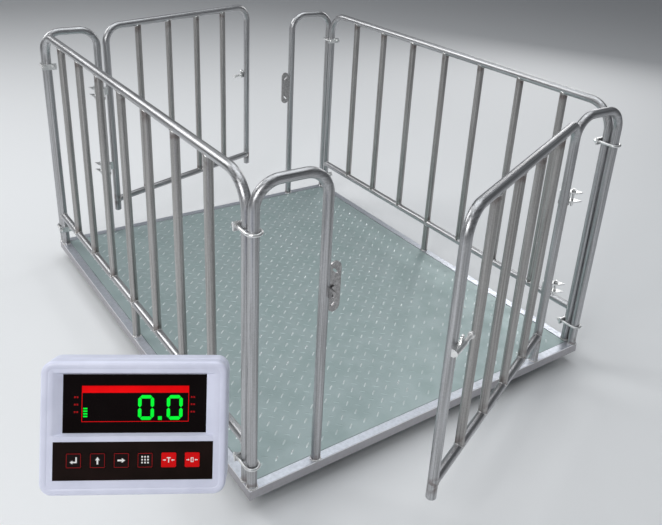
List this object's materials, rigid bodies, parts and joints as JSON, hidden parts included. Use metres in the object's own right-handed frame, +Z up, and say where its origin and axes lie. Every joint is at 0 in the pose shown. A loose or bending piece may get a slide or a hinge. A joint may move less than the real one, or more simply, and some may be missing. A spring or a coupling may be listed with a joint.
{
  "type": "animal weighing scale",
  "caption": "Walk-through animal weighing platform with tube fences, an outward-opening gate at each end and a weight indicator on a swivelling arm.",
  "frame": {"origin": "centre of the deck's top face", "axes": "+Z up; +Y from the front end to the back end along the fences; +X to the right seen from the front end"},
  "size_m": [1.7008, 2.0991, 0.8725],
  "materials": {
    "galvanised_tube": "drawn galvanised tube with fine lengthwise streaks, satin",
    "galvanised_rim": "galvanised angle, cool bluish satin",
    "tread_plate": "galvanised tread plate with raised marks, matt grey-green",
    "bright_hardware": "bright zinc plate",
    "cell_alloy": "machined alloy",
    "rubber": "matt black rubber",
    "dark_plastic": "matt dark plastic",
    "grey_paint": "semi-gloss grey paint",
    "shell_plastic": "pale lavender-white moulded plastic",
    "window_plastic": "glossy black window",
    "panel_plastic": "dark satin key panel",
    "board": "green circuit board",
    "key_dark": "dark key with a thin red outline",
    "key_red": "solid red key"
  },
  "bodies": {
    "platform": {"base_rim": "galvanised_rim", "deck_plate": "tread_plate", "long_beams": "galvanised_rim", "cross_beams": "galvanised_rim", "load_cell_front_left": "cell_alloy", "load_cell_front_right": "cell_alloy", "load_cell_back_left": "cell_alloy", "load_cell_back_right": "cell_alloy", "cell_spacers": "galvanised_rim", "cell_bolts": "bright_hardware", "foot_studs": "bright_hardware", "foot_pads": "rubber", "junction_box": "dark_plastic", "left_fence_frame": "galvanised_tube", "left_fence_rail": "galvanised_tube", "left_fence_bars": "galvanised_tube", "right_fence_frame": "galvanised_tube", "right_fence_rail": "galvanised_tube", "right_fence_bars": "galvanised_tube", "loop_front_left": "galvanised_tube", "loop_front_right": "galvanised_tube", "loop_back_left": "galvanised_tube", "loop_back_right": "galvanised_tube", "u_bolts": "bright_hardware", "u_bolt_saddles": "bright_hardware", "hinge_collars": "galvanised_tube", "front_keeper": "bright_hardware", "back_keeper": "bright_hardware", "bar_clamp": "grey_paint", "clamp_bolts": "bright_hardware", "swivel_fork": "grey_paint", "swivel_pin": "bright_hardware"},
    "front_gate": {"front_gate_frame": "galvanised_tube", "front_gate_rail": "galvanised_tube", "front_gate_bars": "galvanised_tube", "front_hinge_straps": "bright_hardware", "front_latch_guide": "bright_hardware"},
    "front_bolt": {"front_latch_rod": "bright_hardware"},
    "back_gate": {"back_gate_frame": "galvanised_tube", "back_gate_rail": "galvanised_tube", "back_gate_bars": "galvanised_tube", "back_hinge_straps": "bright_hardware", "back_latch_guide": "bright_hardware"},
    "back_bolt": {"back_latch_rod": "bright_hardware"},
    "indicator_arm": {"swivel_arm": "grey_paint", "tilt_bracket": "grey_paint"},
    "indicator": {"front_shell": "shell_plastic", "rear_shell": "shell_plastic", "display_window": "window_plastic", "display_board": "board", "key_panel": "panel_plastic", "control_board": "board", "battery": "dark_plastic", "tilt_knobs": "dark_plastic"},
    "pressed_key_1": {"key_1": "key_dark"},
    "pressed_key_2": {"key_2": "key_dark"},
    "pressed_key_3": {"key_3": "key_dark"},
    "pressed_key_4": {"key_4": "key_dark"},
    "pressed_key_5": {"key_5": "key_red"},
    "pressed_key_6": {"key_6": "key_red"}
  },
  "joints": [
    {"name": "front_gate_hinge", "type": "hinge", "parent": "platform", "child": "front_gate", "pos_m": [0.4055, -0.7375, 0.4], "axis": [0, 0, 1], "range_deg": [-23, 97]},
    {"name": "front_bolt_slide", "type": "slide", "parent": "front_gate", "child": "front_bolt", "axis": [-0.9205, -0.3907, 0], "range_m": [0, 0.022]},
    {"name": "back_gate_hinge", "type": "hinge", "parent": "platform", "child": "back_gate", "pos_m": [-0.4055, 0.7375, 0.4], "axis": [0, 0, 1], "range_deg": [-17.5, 102.5]},
    {"name": "back_bolt_slide", "type": "slide", "parent": "back_gate", "child": "back_bolt", "axis": [0.9537, 0.3007, 0], "range_m": [-0.004, 0.018]},
    {"name": "arm_swivel", "type": "hinge", "parent": "platform", "child": "indicator_arm", "pos_m": [-0.6335, -0.53212, 0.172], "axis": [0, 0, 1], "range_deg": [-30, 30]},
    {"name": "indicator_tilt", "type": "hinge", "parent": "indicator_arm", "child": "indicator", "pos_m": [-0.9043, -0.9175, 0.483], "axis": [0.8572, -0.515, 0], "range_deg": [-25, 20]},
    {"name": "key_1_press", "type": "slide", "parent": "indicator", "child": "pressed_key_1", "axis": [0.4705, 0.7831, -0.4067], "range_m": [0, 0.0005], "stiffness_N_per_m": 3000},
    {"name": "key_2_press", "type": "slide", "parent": "indicator", "child": "pressed_key_2", "axis": [0.4705, 0.7831, -0.4067], "range_m": [0, 0.0005], "stiffness_N_per_m": 3000},
    {"name": "key_3_press", "type": "slide", "parent": "indicator", "child": "pressed_key_3", "axis": [0.4705, 0.7831, -0.4067], "range_m": [0, 0.0005], "stiffness_N_per_m": 3000},
    {"name": "key_4_press", "type": "slide", "parent": "indicator", "child": "pressed_key_4", "axis": [0.4705, 0.7831, -0.4067], "range_m": [0, 0.0005], "stiffness_N_per_m": 3000},
    {"name": "key_5_press", "type": "slide", "parent": "indicator", "child": "pressed_key_5", "axis": [0.4705, 0.7831, -0.4067], "range_m": [0, 0.0005], "stiffness_N_per_m": 3000},
    {"name": "key_6_press", "type": "slide", "parent": "indicator", "child": "pressed_key_6", "axis": [0.4705, 0.7831, -0.4067], "range_m": [0, 0.0005], "stiffness_N_per_m": 3000}
  ]
}
